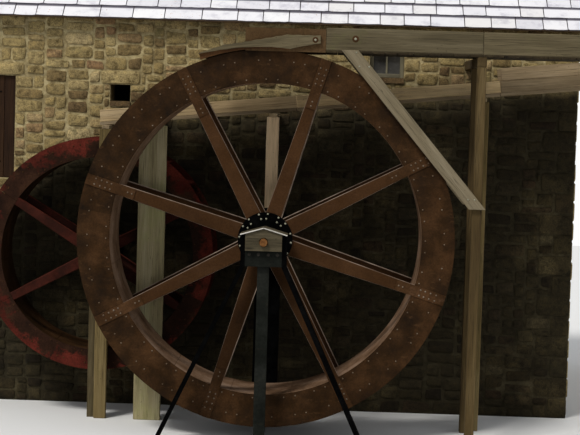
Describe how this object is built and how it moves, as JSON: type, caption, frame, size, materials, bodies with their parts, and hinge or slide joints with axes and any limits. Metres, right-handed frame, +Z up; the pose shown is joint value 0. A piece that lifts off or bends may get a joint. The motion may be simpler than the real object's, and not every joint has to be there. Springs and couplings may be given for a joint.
{
  "type": "watermill",
  "caption": "Stone mill building with a large brown and a smaller red overshot steel waterwheel along its front, each fed by a timber launder on posts.",
  "frame": {"origin": "on the ground, under the middle of the whole mill's bounding box", "axes": "+X right along the front wall as seen from the wheels, +Y from the wheels into the building, +Z up"},
  "size_m": [10.46, 8.5, 7.3989],
  "materials": {
    "wall_stone": "squared sandstone rubble in pale mortar",
    "roof_slate": "weathered stone slates",
    "sill_stone": "dressed stone, weathered",
    "weathered_steel": "brown painted steel plate, rusting",
    "red_steel": "red painted steel plate, worn",
    "black_steel": "black painted steel",
    "grey_steel": "dark grey painted iron",
    "shaft_steel": "turned steel, lightly rusted",
    "launder_timber": "sawn timber, weathered grey",
    "post_timber": "sawn timber, pale",
    "cover_timber": "rough boards, weathered",
    "shutter_timber": "brown painted boards",
    "eaves_timber": "orange-brown timber",
    "floor_timber": "floor boards on joists",
    "window_paint": "painted timber",
    "pane": "clear glass"
  },
  "bodies": {
    "mill": {"front_wall": "wall_stone", "back_wall": "wall_stone", "left_gable_wall": "wall_stone", "right_gable_wall": "wall_stone", "upper_floor": "floor_timber", "front_roof_slope": "roof_slate", "back_roof_slope": "roof_slate", "roof_ridge": "roof_slate", "eaves_boards": "eaves_timber", "window_frames": "window_paint", "window_glass": "pane", "sills": "sill_stone", "upper_shutter": "shutter_timber", "back_door": "shutter_timber", "upper_launder_floor": "launder_timber", "upper_launder_sides": "launder_timber", "upper_launder_posts": "post_timber", "upper_launder_caps": "post_timber", "upper_launder_braces": "launder_timber", "chute_sides": "weathered_steel", "chute_floor": "weathered_steel", "splash_board": "launder_timber", "lower_launder_floor": "launder_timber", "lower_launder_sides": "launder_timber", "lower_launder_bearers": "post_timber", "lower_launder_posts": "post_timber", "bearing_column": "grey_steel", "bearing_uprights": "black_steel", "bearing_legs": "black_steel", "front_bearing": "black_steel", "cover_box": "cover_timber", "cover_roof": "cover_timber", "rear_bearing": "black_steel", "rear_bearing_post": "grey_steel", "red_front_bearing": "black_steel", "red_bearing_post": "post_timber", "wall_bearings": "black_steel"},
    "big_wheel": {"big_wheel_shrouds": "weathered_steel", "big_wheel_sole": "weathered_steel", "big_wheel_buckets": "weathered_steel", "big_wheel_spokes": "weathered_steel", "big_wheel_straps": "weathered_steel", "big_wheel_hubs": "black_steel", "big_wheel_axle": "shaft_steel"},
    "red_wheel": {"red_wheel_shrouds": "red_steel", "red_wheel_sole": "weathered_steel", "red_wheel_buckets": "weathered_steel", "red_wheel_spokes": "red_steel", "red_wheel_hubs": "red_steel", "red_wheel_axle": "shaft_steel"}
  },
  "joints": [
    {"name": "big_wheel_turn", "type": "hinge", "parent": "mill", "child": "big_wheel", "pos_m": [-0.17, -3.74, 2.45], "axis": [0, -1, 0], "continuous": true},
    {"name": "red_wheel_turn", "type": "hinge", "parent": "mill", "child": "red_wheel", "pos_m": [-2.385, -2.46, 2.1], "axis": [0, -1, 0], "continuous": true}
  ]
}
